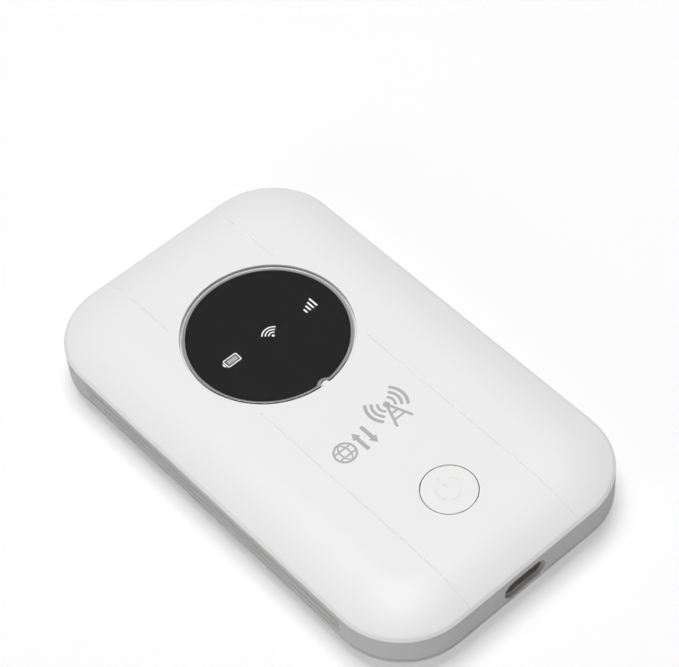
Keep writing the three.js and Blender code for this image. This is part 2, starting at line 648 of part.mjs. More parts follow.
function batteryCap() {
  const b = BATTERY;
  const pocketY = b.y1 - CONTACT.recess;
  const pocketZ = [CONTACT_Z[0] - CONTACT.room, CONTACT_Z[1] + CONTACT.room];
  const half = CONTACT.halfW + CONTACT.room;
  let cap = box(-b.halfW + 0.3, b.halfW - 0.3, b.y1 - CAP_L, b.y1, b.z0 + 0.2, b.z1);
  for (const x of CONTACT.x) {
    cap = cap.subtract(box(x - half, x + half, pocketY, b.y1 + THROUGH, ...pocketZ));
  }
  return cap;
}
add('battery_cap', batteryCap(), BLACK_PLASTIC);
CONTACT.x.forEach((x, i) => {
  const y = BATTERY.y1 - CONTACT.recess + SMALL_GAP;
  const plate = box(x - CONTACT.halfW, x + CONTACT.halfW, y, y + CONTACT.thickness, ...CONTACT_Z);
  add(`battery_contact_${i + 1}`, plate, GOLD);
});

// ---- Contact block that meets the battery ----
const SPRING_SLOT = { halfW: 0.8, depth: 1.6, roof: 1 };
const SPRING_W = 1;

function contactBlock() {
  const c = CONNECTOR;
  const slot = SPRING_SLOT;
  const slotY = [c.y0 - THROUGH, c.y0 + slot.depth];
  let block = box(-c.halfW, c.halfW, c.y0, c.y1, c.z0, c.z1);
  for (const x of CONTACT.x) {
    block = block.subtract(box(x - slot.halfW, x + slot.halfW, ...slotY, c.z0 - THROUGH, c.z1 - slot.roof));
  }
  return block;
}
add('contact_block', contactBlock(), BLACK_PLASTIC);

// A bent strip seen from the side, in Y and Z: its tip leans out of the slot towards the battery.
function contactSpring(x) {
  const y = CONNECTOR.y0;
  const tip = BATTERY.y1 + 0.15;
  const shape = new THREE.Shape();
  shape.moveTo(y + 1.5, 6.4);
  shape.lineTo(y + 1.3, 6.4);
  shape.lineTo(tip, 4.6);
  shape.lineTo(y + 1.1, 3.95);
  shape.lineTo(y + 1.2, 4.12);
  shape.lineTo(tip + 0.25, 4.62);
  shape.closePath();
  const geometry = new THREE.ExtrudeGeometry(shape, { depth: SPRING_W, bevelEnabled: false });
  const turned = geometry.rotateX(Math.PI / 2).rotateZ(Math.PI / 2);
  return toSolid(turned.translate(x - SPRING_W / 2, 0, 0));
}
CONTACT.x.forEach((x, i) => add(`contact_spring_${i + 1}`, contactSpring(x), GOLD));

// ---- Antennas: formed metal strips standing on the board's edges ----
const ANTENNA_TOP_Z = 9.7;
const ANTENNA_SLOT_Z = [ON_BOARD + 0.5, ANTENNA_TOP_Z - 0.4];

function antennaStrip(x0, x1, y0, y1, slots) {
  let strip = box(x0, x1, y0, y1, ON_BOARD, ANTENNA_TOP_Z);
  for (const slot of slots) {
    strip = strip.subtract(box(...slot, ...ANTENNA_SLOT_Z));
  }
  return strip;
}
const MAIN_SLOTS = [[-10, -2, 44, 46], [1, 10, 44, 46]];
const DIVERSITY_SLOTS = [[-27, -25, -23, -15], [-27, -25, -13, -7]];
const WIRELESS_SLOTS = [[25, 27, 1, 6], [25, 27, 8, 12]];
add('main_antenna', antennaStrip(-13, 13, 44.6, 44.9, MAIN_SLOTS), GOLD);
add('diversity_antenna', antennaStrip(-25.6, -25.3, -26, -4, DIVERSITY_SLOTS), GOLD);
add('wireless_antenna', antennaStrip(25.3, 25.6, -2, 14, WIRELESS_SLOTS), GOLD);

// ---- Case screws ----
const CROSS = { length: 1.7, width: 0.4, depth: 0.5 };

function caseScrew(x, y) {
  const [foot, seat] = SCREW.headZ;
  let screw = rod(x, y, SCREW.headR, foot, seat);
  screw = screw.add(rod(x, y, SCREW.shankR, (foot + seat) / 2, SCREW.tipZ, 16));
  for (const turn of [0, Math.PI / 2]) {
    const slot = new THREE.BoxGeometry(CROSS.length, CROSS.width, 2 * CROSS.depth);
    screw = screw.subtract(toSolid(slot.rotateZ(turn).translate(x, y, foot)));
  }
  return screw;
}
SCREW_PLACES.forEach(([x, y], i) => add(`case_screw_${i + 1}`, caseScrew(x, y), SCREW_STEEL));

export default hotspot;
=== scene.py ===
import math

import bmesh
import bpy
from mathutils import Matrix, Vector


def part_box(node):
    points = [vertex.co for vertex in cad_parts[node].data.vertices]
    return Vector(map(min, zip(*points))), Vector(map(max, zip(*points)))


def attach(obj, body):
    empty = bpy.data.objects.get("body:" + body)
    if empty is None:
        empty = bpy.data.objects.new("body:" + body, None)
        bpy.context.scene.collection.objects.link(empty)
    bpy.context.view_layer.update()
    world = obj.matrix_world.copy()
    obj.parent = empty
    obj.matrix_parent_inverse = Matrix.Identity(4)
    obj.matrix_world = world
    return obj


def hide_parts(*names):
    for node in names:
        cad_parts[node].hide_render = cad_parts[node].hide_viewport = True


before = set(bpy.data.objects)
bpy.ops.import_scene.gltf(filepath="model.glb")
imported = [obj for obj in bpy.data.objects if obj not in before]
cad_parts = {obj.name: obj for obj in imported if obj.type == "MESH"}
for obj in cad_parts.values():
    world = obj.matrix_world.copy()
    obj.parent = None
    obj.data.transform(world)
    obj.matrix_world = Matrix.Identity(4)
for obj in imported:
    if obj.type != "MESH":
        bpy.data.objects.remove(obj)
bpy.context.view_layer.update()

MM = 0.001
scene = bpy.context.scene


def span(node):
    """The lowest and highest corners of a CAD node, in millimetres."""
    low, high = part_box(node)
    return low / MM, high / MM


# ---- Driving dimensions, read from the frame where it has them ----
SHELL_HIGH = span("front_shell")[1]
HALF_W, HALF_L = SHELL_HIGH.x, SHELL_HIGH.y
PRINT_T = 0.01  # the printed symbols stand this high, inside the frame's height
HEIGHT = SHELL_HIGH.z - PRINT_T
CORNER_R = 13.5
CROWN_REACH = 11.3  # the top and the base curve over this much of their edges
TOP_DROP = 2.94
BASE_RISE = 2.9
SKIN = 1.3  # the front shell's thickness
EDGE_BEVEL = 0.53
SHELL_RIM_T = 1.87  # the shell's thickness at its rim

WALL_TOP_Z = span("rear_housing")[1].z
PARTING = 0.015  # the hairline between the shell and the wall
WALL_FOOT_Z = 4.05
WALL_PLAIN_Z = 9  # the wall is plain from here up
WALL_T = 1.7
RIB_PITCH = 1.85
RIB_CREST_Z = 8.07  # the middle of the highest rib
RIB_DEPTH = 0.55
RIB_PANEL_INSET = 0.1
RIB_HALF_LENGTH = 33.6
RIB_FADE = 0.7

LENS_LOW, LENS_HIGH = span("display_lens")
WINDOW_Y = (LENS_LOW.y + LENS_HIGH.y) / 2
LENS_GAP = 0.3
WINDOW_R = LENS_HIGH.x + LENS_GAP
MASK_LOW, MASK_HIGH = span("display_mask")
WINDOW_HOLE_R = 13.6
WINDOW_LEDGE_Z = 11.9
WINDOW_RIM = 1
WINDOW_RIM_Z = (10.9, 12)
KEY_R = 0.75  # the shell's round key, which the lens is bitten out for

BUTTON_LOW, BUTTON_HIGH = span("power_button")
BUTTON_Y = (BUTTON_LOW.y + BUTTON_HIGH.y) / 2
BUTTON_R = 4.94
BUTTON_GAP = 0.15
GROOVE_X = 12.4
GROOVE_HALF = 0.16
GROOVE_STOP_R = 17.8  # the grooves stop this far from the window's centre

PORT_LOW, PORT_HIGH = span("socket_shell")
PORT_X = (PORT_LOW.x + PORT_HIGH.x) / 2
PORT_Z = (PORT_LOW.z + PORT_HIGH.z) / 2
PORT_CUT = (9.4, 3.9)  # the wall's opening for the socket

LEDGE_Z = (3.5, 4.3)  # the inner floor
OPEN_Z = 8  # above all that stands on the inner floor
BAY_ROOF_Z = (6.7, 7.5)
BATTERY_LOW, BATTERY_HIGH = span("battery_cell")
CAP_HIGH = span("battery_cap")[1]
BAY_GAP = 0.35
BAY_WALL = 0.9
BAY = (-BATTERY_HIGH.x - BAY_GAP, BATTERY_HIGH.x + BAY_GAP, BATTERY_LOW.y - BAY_GAP, CAP_HIGH.y + BAY_GAP)
SIM_BAY = (-18, 17, 24.7, 43.3)
SIM_WALL_TOP_Z = 7.6
BAY_CORNER_R = 0.8
BLOCK_LOW, BLOCK_HIGH = span("contact_block")
BLOCK_GAP = 0.3
SCREW_X, SCREW_Y = 22.3, 41
SCREWS = [(SCREW_X, SCREW_Y), (-SCREW_X, SCREW_Y), (-SCREW_X, -SCREW_Y), (SCREW_X, -SCREW_Y)]
CLIP_Y = (-27, 0, 27)
CLIP_HALF = 3
CLIP_INSET = (3, 3.7)  # the snap tabs' outer and inner faces, from the side
SLOT_GAP = (0.3, 0.4)  # round a tab: on its outer face, and on the other three

ARC_STEPS = 22  # facets in each corner of the outline
ROUND_STEPS = 128  # facets in a large circle
BEYOND = 1  # a cutter reaches this far outside the piece
OFF_LIP = 0.001  # keeps the end of a cutter's rounding out of the face it cuts
OFF_PLANE = 0.006  # the same for a cutter that meets a flat face


# ---- Camera and light ----
# The view that a camera fitted to the photograph's outline gives.
AIM = Vector((9.0, 7.8, 12.8)) * MM
CAMERA_DISTANCE = 420.6 * MM
AZIMUTH, ELEVATION, ROLL = math.radians(-37.47), math.radians(51.63), math.radians(5.54)
LENS_MM = 126.03


def make_camera():
    back = Vector((
        math.sin(AZIMUTH) * math.cos(ELEVATION),
        -math.cos(AZIMUTH) * math.cos(ELEVATION),
        math.sin(ELEVATION),
    ))
    level_right = Vector((math.cos(AZIMUTH), math.sin(AZIMUTH), 0))
    level_up = back.cross(level_right)
    right = math.cos(ROLL) * level_right - math.sin(ROLL) * level_up
    up = back.cross(right)
    data = bpy.data.cameras.new("camera")
    data.lens = LENS_MM
    data.clip_start = 0.01
    camera = bpy.data.objects.new("camera", data)
    camera.matrix_world = Matrix.Translation(AIM + back * CAMERA_DISTANCE) @ Matrix(
        (right, up, back)
    ).transposed().to_4x4()
    scene.collection.objects.link(camera)
    scene.camera = camera


def make_light(name, place, target, size, power, mirrored=True):
    """An area light in metres and watts; one that isn't mirrored leaves no highlight."""
    data = bpy.data.lights.new(name, "AREA")
    data.shape = "RECTANGLE"
    data.size, data.size_y = size
    data.energy = power
    light = bpy.data.objects.new(name, data)
    light.location = place
    light.rotation_euler = (Vector(place) - Vector(target)).to_track_quat("Z", "Y").to_euler()
    light.visible_glossy = mirrored
    scene.collection.objects.link(light)


def make_world(tint, strength):
    world = bpy.data.worlds.new("studio")
    world.use_nodes = True
    background = world.node_tree.nodes["Background"]
    background.inputs["Color"].default_value = (*tint, 1)
    background.inputs["Strength"].default_value = strength
    scene.world = world


make_camera()
scene.view_settings.view_transform = "Standard"
make_world((1.0, 1.0, 1.0), 0.07)
make_light("overhead", place=(0.05, 0.14, 1.2), target=(0, 0, 0), size=(0.6, 0.6), power=13.7)
for name, place, size, power in (
    ("left_fill", (-0.9, -0.15, 0.3), (0.5, 0.35), 1.5),
    ("front_fill", (0.1, -0.9, 0.12), (0.5, 0.2), 0.4),
    ("right_fill", (0.9, 0.4, 0.6), (0.5, 0.5), 0.7),
):
    make_light(name, place, (0, 0, 0.01), size, power, mirrored=False)


# ---- Materials ----
class Surface:
    """A node material: a Principled shader fed by noise in the object's own coordinates."""

    def __init__(self, name, base, roughness, metallic=0.0):
        self.material = bpy.data.materials.new(name)
        self.material.use_nodes = True
        self.tree = self.material.node_tree
        self.shader = self.tree.nodes["Principled BSDF"]
        self.shader.inputs["Metallic"].default_value = metallic
        self.shader.inputs["Base Color"].default_value = (*base, 1)
        self.shader.inputs["Roughness"].default_value = roughness
        self.base, self.rough = base, roughness
        self.place = self.node("ShaderNodeTexCoord").outputs["Object"]
        self.last_bump = None

    def node(self, kind, **inputs):
        made = self.tree.nodes.new(kind)
        for key, value in inputs.items():
            made.inputs[key.replace("_", " ")].default_value = value
        return made

    def link(self, source, target):
        self.tree.links.new(source, target)

    def maths(self, operation, *values):
        """Arithmetic on values that are each a socket or a plain number."""
        made = self.node("ShaderNodeMath")
        made.operation = operation
        for socket, value in zip(made.inputs, values):
            if isinstance(value, bpy.types.NodeSocket):
                self.link(value, socket)
            else:
                socket.default_value = value
        return made.outputs[0]

    def noise(self, size, detail=2.0, stretch=None):
        """Noise whose features are about size millimetres across."""
        made = self.node("ShaderNodeTexNoise", Scale=1 / (size * MM), Detail=detail)
        source = self.place
        if stretch:
            mapping = self.node("ShaderNodeMapping")
            mapping.inputs["Scale"].default_value = stretch
            self.link(self.place, mapping.inputs["Vector"])
            source = mapping.outputs["Vector"]
        self.link(source, made.inputs["Vector"])
        return made.outputs["Fac"]

    def remap(self, value, low, high, start=0.3, end=0.7):
        made = self.node("ShaderNodeMapRange")
        made.inputs["From Min"].default_value = start
        made.inputs["From Max"].default_value = end
        made.inputs["To Min"].default_value = low
        made.inputs["To Max"].default_value = high
        self.link(value, made.inputs["Value"])
        return made.outputs["Result"]

    def mix(self, factor, first, second):
        """Mixes two colours, each a socket or a plain colour."""
        made = self.tree.nodes.new("ShaderNodeMix")
        made.data_type = "RGBA"
        self.link(factor, made.inputs[0])
        for socket, value in ((made.inputs[6], first), (made.inputs[7], second)):
            if isinstance(value, bpy.types.NodeSocket):
                self.link(value, socket)
            else:
                socket.default_value = (*value, 1)
        return made.outputs[2]

    def vary_colour(self, size, amount, tint=(1, 1, 1)):
        """Mottles the base colour with one that is darker by amount."""
        dark = [c * (1 - amount) * t for c, t in zip(self.base, tint)]
        factor = self.remap(self.noise(size, 4), 0, 1)
        self.colour(self.mix(factor, dark, self.base))
        return self

    def colour(self, socket):
        self.link(socket, self.shader.inputs["Base Color"])

    def vary_roughness(self, size, amount, stretch=None):
        value = self.remap(self.noise(size, 3, stretch=stretch), self.rough - amount, self.rough + amount)
        self.link(value, self.shader.inputs["Roughness"])
        return self

    def bump(self, height, depth):
        """Adds relief of depth millimetres, on top of any added before."""
        made = self.node("ShaderNodeBump", Strength=1.0, Distance=depth * MM)
        self.link(height, made.inputs["Height"])
        if self.last_bump:
            self.link(self.last_bump, made.inputs["Normal"])
        self.last_bump = made.outputs["Normal"]
        self.link(self.last_bump, self.shader.inputs["Normal"])
        return self

    def grain(self, size, depth, stretch=None):
        return self.bump(self.noise(size, 2, stretch=stretch), depth)

    def set(self, **inputs):
        for key, value in inputs.items():
            self.shader.inputs[key.replace("_", " ")].default_value = value
        return self


def plastic(name, base, roughness, texture=0.0014):
    made = Surface(name, base, roughness)
    made.set(Specular_IOR_Level=0.3)
    made.vary_colour(9, 0.008).vary_roughness(1.4, 0.04)
    made.grain(0.16, texture).grain(3.5, 0.0012)
    return made


def metal(name, base, roughness, stretch=(1, 8, 1)):
    made = Surface(name, base, roughness, 1.0)
    made.vary_colour(1.8, 0.14, (1, 0.98, 0.95)).vary_roughness(0.35, 0.09, stretch)
    made.grain(0.12, 0.0016, stretch)
    return made


def clear_acrylic():
    """Clear moulding. Shadow and diffuse rays pass straight through it, so what lies beneath is lit."""
    made = Surface("clear_acrylic", (0.98, 0.98, 0.978), 0.03)
    made.set(IOR=1.49, Transmission_Weight=1.0)
    made.vary_roughness(2.2, 0.018)
    made.grain(6, 0.001)
    tree = made.tree
    clear = tree.nodes.new("ShaderNodeBsdfTransparent")
    clear.inputs["Color"].default_value = (0.95, 0.95, 0.948, 1)
    path = tree.nodes.new("ShaderNodeLightPath")
    straight = made.maths("MAXIMUM", path.outputs["Is Shadow Ray"], path.outputs["Is Diffuse Ray"])
    mix = tree.nodes.new("ShaderNodeMixShader")
    made.link(straight, mix.inputs[0])
    made.link(made.shader.outputs[0], mix.inputs[1])
    made.link(clear.outputs[0], mix.inputs[2])
    made.link(mix.outputs[0], tree.nodes["Material Output"].inputs["Surface"])
    return made


def circuit_board():
    """Green solder mask over squared tracks, with gold vias."""
    made = Surface("circuit_board", (0.012, 0.085, 0.04), 0.36)
    track_pitch, via_pitch = 2.2 * MM, 1.5 * MM
    nearest = []
    for feature in ("F1", "F2"):
        tracks = made.node("ShaderNodeTexVoronoi", Scale=1 / track_pitch, Randomness=0.85)
        tracks.feature = feature
        tracks.distance = "CHEBYCHEV"
        made.link(made.place, tracks.inputs["Vector"])
        nearest.append(tracks.outputs["Distance"])
    vias = made.node("ShaderNodeTexVoronoi", Scale=1 / via_pitch, Randomness=1.0)
    made.link(made.place, vias.inputs["Vector"])
    copper = made.remap(made.maths("SUBTRACT", nearest[1], nearest[0]), 1, 0, 0.05, 0.08)
    dots = made.remap(vias.outputs["Distance"], 1, 0, 0.12, 0.15)
    green = made.mix(copper, made.base, (0.03, 0.17, 0.08))
    made.colour(made.mix(dots, green, (0.75, 0.56, 0.2)))
    made.link(dots, made.shader.inputs["Metallic"])
    made.vary_roughness(0.9, 0.07)
    return made.bump(copper, 0.03).bump(dots, 0.03).grain(0.2, 0.003)


def battery_film():
    """Silver-grey film round the cell with a plain white label on its lower face."""
    made = Surface("battery_film", (0.42, 0.43, 0.45), 0.38)
    made.set(Metallic=0.25)
    split = made.node("ShaderNodeSeparateXYZ")
    made.link(made.place, split.inputs[0])
    inside = 1
    for axis, centre, half in (
        ("X", 0, BATTERY_HIGH.x - 5),
        ("Y", (BATTERY_LOW.y + BATTERY_HIGH.y) / 2, 22),
        ("Z", BATTERY_LOW.z, 1),
    ):
        offset = made.maths("ABSOLUTE", made.maths("SUBTRACT", split.outputs[axis], centre * MM))
        inside = made.maths("MULTIPLY", inside, made.maths("LESS_THAN", offset, half * MM))
    film = made.mix(made.remap(made.noise(5, 4), 0, 1), (0.38, 0.39, 0.41), made.base)
    paper = made.mix(made.remap(made.noise(0.5, 3), 0, 1), (0.78, 0.78, 0.76), (0.84, 0.84, 0.82))
    made.colour(made.mix(inside, film, paper))
    made.vary_roughness(1.2, 0.08)
    return made.bump(inside, 0.03).grain(3.5, 0.05, (1, 0.25, 1)).grain(0.3, 0.004)


WHITE = (0.82, 0.82, 0.818)
LOOKS = {
    "white_case": plastic("white_case", WHITE, 0.42),
    "button_cap": plastic("button_cap", (0.82, 0.82, 0.817), 0.42, 0.001),
    "clear_lens": clear_acrylic(),
    "black_mask": Surface("black_ink", (0.013, 0.013, 0.0135), 0.34)
    .set(Specular_IOR_Level=0.05)
    .vary_colour(0.9, 0.12).vary_roughness(3, 0.04).grain(0.3, 0.0004),
    "grey_tape": Surface("foam_tape", (0.37, 0.37, 0.37), 0.75)
    .vary_colour(0.5, 0.1).vary_roughness(0.7, 0.08).grain(0.12, 0.012),
    "milky_film": Surface("milky_film", (0.86, 0.86, 0.83), 0.55)
    .vary_colour(3, 0.03).vary_roughness(1, 0.06).grain(0.2, 0.003),
    "black_plastic": Surface("black_plastic", (0.016, 0.016, 0.017), 0.52)
    .vary_colour(1.5, 0.25).vary_roughness(0.8, 0.08).grain(0.1, 0.004),
    "led_body": Surface("led_resin", (0.82, 0.76, 0.5), 0.3)
    .vary_colour(0.4, 0.08).vary_roughness(0.5, 0.06).grain(0.1, 0.003),
    "board": circuit_board(),
    "steel_can": metal("tinned_steel", (0.62, 0.63, 0.64), 0.32),
    "chip_epoxy": Surface("chip_epoxy", (0.022, 0.022, 0.025), 0.62)
    .vary_colour(0.35, 0.3).vary_roughness(0.4, 0.08).grain(0.09, 0.006),
    "socket_steel": metal("socket_steel", (0.82, 0.8, 0.77), 0.5, (1, 0.2, 1)),
    "gold_contact": metal("gold_contact", (0.86, 0.62, 0.25), 0.24),
    "sim_plastic": Surface("card_plastic", (0.8, 0.8, 0.79), 0.42)
    .vary_colour(2, 0.03).vary_roughness(0.8, 0.05).grain(0.14, 0.003),
    "battery_wrap": battery_film(),
    "screw_steel": metal("screw_steel", (0.36, 0.36, 0.37), 0.33),
}
# The lens's upright side faces are near black: painted shade that stands in for the shadow in the gap round
# the lens.
LENS_EDGE_SHADE = (
    Surface("lens_edge_painted_shade", (0.03, 0.03, 0.031), 0.6)
    .vary_colour(0.6, 0.15).vary_roughness(0.5, 0.08).grain(0.1, 0.003)
)
TONGUE_RESIN = (
    Surface("tongue_resin", (0.42, 0.4, 0.37), 0.5)
    .vary_colour(0.8, 0.12).vary_roughness(0.6, 0.07).grain(0.1, 0.003)
)
GREY_INK = (
    Surface("grey_ink", (0.43, 0.43, 0.432), 0.48)
    .vary_colour(0.35, 0.07).vary_roughness(0.6, 0.06).grain(0.1, 0.002)
)
# The white ink glows faintly through its emission: a painted glow that comes from no lamp.
WHITE_INK_GLOW = (
    Surface("white_ink_painted_glow", (0.86, 0.87, 0.87), 0.45)
    .set(Emission_Color=(0.9, 0.95, 1, 1), Emission_Strength=0.2)
    .vary_colour(0.3, 0.05).vary_roughness(0.6, 0.06).grain(0.1, 0.002)
)
PALE_INK = (
    Surface("pale_ink", (0.48, 0.49, 0.49), 0.45)
    .vary_colour(0.3, 0.06).vary_roughness(0.6, 0.06).grain(0.1, 0.002)
)


# ---- Making pieces ----
class Form:
    """Collects closed solids, each lofted through loops of points, into one mesh."""

    def __init__(self):
        self.points, self.faces = [], []

    def loft(self, loops, joined=False):
        """Skins loops of as many points each; joined runs the last loop back to the first."""
        count, start, rows = len(loops[0]), len(self.points), len(loops)
        for loop in loops:
            self.points.extend(loop)
        for row in range(rows if joined else rows - 1):
            here, above = start + row * count, start + (row + 1) % rows * count
            for k in range(count):
                after = (k + 1) % count
                self.faces.append((here + k, here + after, above + after, above + k))
        if not joined:
            self.faces.append(tuple(range(start + count - 1, start - 1, -1)))
            self.faces.append(tuple(range(start + (rows - 1) * count, start + rows * count)))
        return self

    def make(self, name):
        mesh = bpy.data.meshes.new(name)
        mesh.from_pydata([Vector(p) * MM for p in self.points], [], self.faces)
        piece = bpy.data.objects.new(name, mesh)
        scene.collection.objects.link(piece)
        edit = bmesh.new()
        edit.from_mesh(mesh)
        bmesh.ops.recalc_face_normals(edit, faces=edit.faces)
        edit.to_mesh(mesh)
        edit.free()
        return piece


def apply_modifiers(piece):
    graph = bpy.context.evaluated_depsgraph_get()
    mesh = bpy.data.meshes.new_from_object(piece.evaluated_get(graph))
    piece.modifiers.clear()
    piece.data = mesh


def combine(piece, form, operation="DIFFERENCE"):
    """Cuts the form out of the piece, or joins it on."""
    tool = form.make("tool")
    modifier = piece.modifiers.new("combine", "BOOLEAN")
    modifier.operation = operation
    modifier.solver = "MANIFOLD"
    modifier.object = tool
    apply_modifiers(piece)
    bpy.data.objects.remove(tool)


def finish_piece(piece, slot, body, nodes=(), look=None, crease=34):
    """Gives a piece its material (the slot's look unless another is given), smooth shading and body, and
    hides the CAD nodes it stands for.
    """
    mesh = piece.data
    mesh.materials.clear()
    mesh.materials.append((look or LOOKS[slot]).material)
    mesh.polygons.foreach_set("material_index", [0] * len(mesh.polygons))
    mesh.shade_smooth()
    mesh.set_sharp_from_angle(angle=math.radians(crease))
    modifier = piece.modifiers.new("normals", "WEIGHTED_NORMAL")
    modifier.keep_sharp = True
    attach(piece, body)
    if nodes:
        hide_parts(*nodes)
    return piece


def refine(node, slot, body, bevel, look=None):
    """A copy of a CAD node with its flat faces merged and its edges rounded."""
    piece = bpy.data.objects.new(node + "_fine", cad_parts[node].data.copy())
    scene.collection.objects.link(piece)
    edit = bmesh.new()
    edit.from_mesh(piece.data)
    bmesh.ops.remove_doubles(edit, verts=edit.verts, dist=0.0005 * MM)
    bmesh.ops.dissolve_limit(edit, angle_limit=math.radians(1), verts=edit.verts, edges=edit.edges)
    edit.to_mesh(piece.data)
    edit.free()
    modifier = piece.modifiers.new("bevel", "BEVEL")
    modifier.width = bevel * MM
    modifier.segments = 2
    modifier.limit_method = "ANGLE"
    modifier.angle_limit = math.radians(40)
    apply_modifiers(piece)
    finish_piece(piece, slot, body, [node], look)


def rounded(profile, steps=4):
    """Rounds the corners of an open profile of (a, b, reach) points, by reach along each side."""
    result = []
    for i, (a, b, reach) in enumerate(profile):
        here = Vector((a, b))
        if reach == 0 or i in (0, len(profile) - 1):
            result.append((a, b))
            continue
        ends = []
        for other in (profile[i - 1], profile[i + 1]):
            side = Vector(other[:2]) - here
            ends.append(here + side.normalized() * min(reach, side.length / 2))
        for step in range(steps + 1):
            t = step / steps
            point = ends[0] * (1 - t) ** 2 + here * 2 * t * (1 - t) + ends[1] * t * t
            result.append((point.x, point.y))
    return result


def circle(x, y, radius, z, steps=ROUND_STEPS):
    turn = 2 * math.pi / steps
    return [(x + radius * math.cos(turn * k), y + radius * math.sin(turn * k), z) for k in range(steps)]


def lathe(x, y, profile, steps=ROUND_STEPS):
    """Circles round a vertical axis through a profile of (radius, z)."""
    return [circle(x, y, radius, z, steps) for radius, z in profile]


def rounded_rect(x0, x1, y0, y1, radius, z, grow=0.0, steps=6):
    """A loop round a rectangle with rounded corners, moved out by grow."""
    points = []
    radius += grow
    for corner in range(4):
        x = x1 + grow - radius if corner in (0, 3) else x0 - grow + radius
        y = y1 + grow - radius if corner < 2 else y0 - grow + radius
        for step in range(steps + 1):
            angle = (corner + step / steps) * math.pi / 2
            points.append((x + radius * math.cos(angle), y + radius * math.sin(angle), z))
    return points


def stadium(width, height, y, grow=0.0, steps=14):
    """The socket's outline, upright in the plane y."""
    radius = height / 2 + grow
    reach = width / 2 - height / 2
    points = []
    for side in (1, -1):
        for step in range(steps + 1):
            angle = math.pi * (step / steps - 0.5)
            x = PORT_X + side * (reach + radius * math.cos(angle))
            points.append((x, y, PORT_Z + side * radius * math.sin(angle)))
    return points


def post(x, y, radius, low, high, steps=ROUND_STEPS):
    """A plain upright cylinder."""
    return Form().loft(lathe(x, y, [(radius, low), (radius, high)], steps))


def outline_loop(inset, z, rib=0.0):
    """One loop of the case's outline, moved in by inset; rib presses in the long sides."""
    points = []
    radius = CORNER_R - inset
    fade = 4
    for corner in range(4):
        sign_x = 1 if corner in (0, 3) else -1
        sign_y = 1 if corner < 2 else -1
        for step in range(ARC_STEPS + 1):
            angle = (corner + step / ARC_STEPS) * math.pi / 2
            points.append((
                sign_x * (HALF_W - CORNER_R) + radius * math.cos(angle),
                sign_y * (HALF_L - CORNER_R) + radius * math.sin(angle),
                z,
            ))
        if corner in (1, 3):
            side = -1 if corner == 1 else 1
            ends = []
            for step in range(fade + 1):
                share = step / fade
                pressed = rib * (1 - math.cos(math.pi * share)) / 2
                ends.append((RIB_HALF_LENGTH + RIB_FADE * (1 - share), pressed))
            for along, pressed in ends + [(-a, p) for a, p in reversed(ends)]:
                points.append((side * (HALF_W - inset - pressed), -side * along, z))
    return points


def crown_top(inset):
    rest = max(0, 1 - inset / CROWN_REACH)
    return HEIGHT - TOP_DROP * rest * rest


def crown_base(inset):
    rest = max(0, 1 - inset / CROWN_REACH)
    return BASE_RISE * rest * rest


def rib_at(z):
    wave = (1 - math.cos(2 * math.pi * (z - RIB_CREST_Z) / RIB_PITCH)) / 2
    return RIB_PANEL_INSET + RIB_DEPTH * wave


def spread(start, end, count):
    """Numbers from start to end, closer together near the start."""
    return [start + (end - start) * (k / (count - 1)) ** 1.25 for k in range(count)]


def keyed_loop(radius, key_radius, z, steps=150, key_steps=16):
    """A circle round the window with a round bite out of its nearest point."""
    distance = WINDOW_R
    swing = math.acos((radius**2 + distance**2 - key_radius**2) / (2 * radius * distance))
    bite = math.acos((key_radius**2 + distance**2 - radius**2) / (2 * key_radius * distance))
    points = []
    for k in range(steps + 1):
        angle = -math.pi / 2 + swing + (2 * math.pi - 2 * swing) * k / steps
        points.append((radius * math.cos(angle), WINDOW_Y + radius * math.sin(angle), z))
    for k in range(1, key_steps):
        angle = math.pi / 2 + bite - 2 * bite * k / key_steps
        x, y = key_radius * math.cos(angle), key_radius * math.sin(angle)
        points.append((x, WINDOW_Y - distance + y, z))
    return points


def tube(points, radius, sides=20):
    """A rod with domed ends along a path of points."""
    path = [Vector(p) for p in points]
    loops = []
    dome = 5
    start, end = (path[1] - path[0]).normalized(), (path[-1] - path[-2]).normalized()
    stations = []
    for k in range(1, dome):
        angle = math.pi / 2 * (1 - k / dome)
        stations.append((path[0] - start * radius * math.sin(angle), start, radius * math.cos(angle)))
    for i, point in enumerate(path):
        ahead = path[min(i + 1, len(path) - 1)] - path[max(i - 1, 0)]
        stations.append((point, ahead.normalized(), radius))
    for k in range(1, dome):
        angle = math.pi / 2 * k / dome
        stations.append((path[-1] + end * radius * math.sin(angle), end, radius * math.cos(angle)))
    for centre, ahead, size in stations:
        across = Vector((-ahead.y, ahead.x, 0))
        loops.append([
            centre + size * (across * math.cos(a) + Vector((0, 0, math.sin(a))))
            for a in (2 * math.pi * k / sides for k in range(sides))
        ])
    return loops


def arc_path(x, y, radius, start, end, z, steps=60):
    """Points along an arc; angles in degrees."""
    angles = [math.radians(start + (end - start) * k / steps) for k in range(steps + 1)]
    return [(x + radius * math.cos(a), y + radius * math.sin(a), z) for a in angles]


# ---- Front shell ----
UNDER_SHELL_Z = 9  # cutters for the shell's openings start here


def window_cutter():
    lip, straight = 0.16, 0.5
    loops = [keyed_loop(WINDOW_R, KEY_R, WINDOW_LEDGE_Z)]
    for a, z in rounded([(0, HEIGHT - straight, 0), (0, HEIGHT, lip), (lip * 2, HEIGHT, 0)]):
        if a < lip:
            loops.append(keyed_loop(WINDOW_R + a, KEY_R - a, z))
    for z in (HEIGHT + OFF_LIP, HEIGHT + BEYOND):
        loops.append(keyed_loop(WINDOW_R + lip, KEY_R - lip, z))
    return Form().loft(loops)


def button_cutter():
    lip, straight = 0.09, 0.6
    radius = BUTTON_R + BUTTON_GAP
    mouth = rounded([(radius, HEIGHT - straight, 0), (radius, HEIGHT, lip), (radius + 1, HEIGHT, 0)])
    profile = [(radius, UNDER_SHELL_Z)] + mouth[1:-1]
    profile += [(radius + lip, HEIGHT + OFF_LIP), (radius + lip, HEIGHT + BEYOND)]
    return Form().loft(lathe(0, BUTTON_Y, profile))


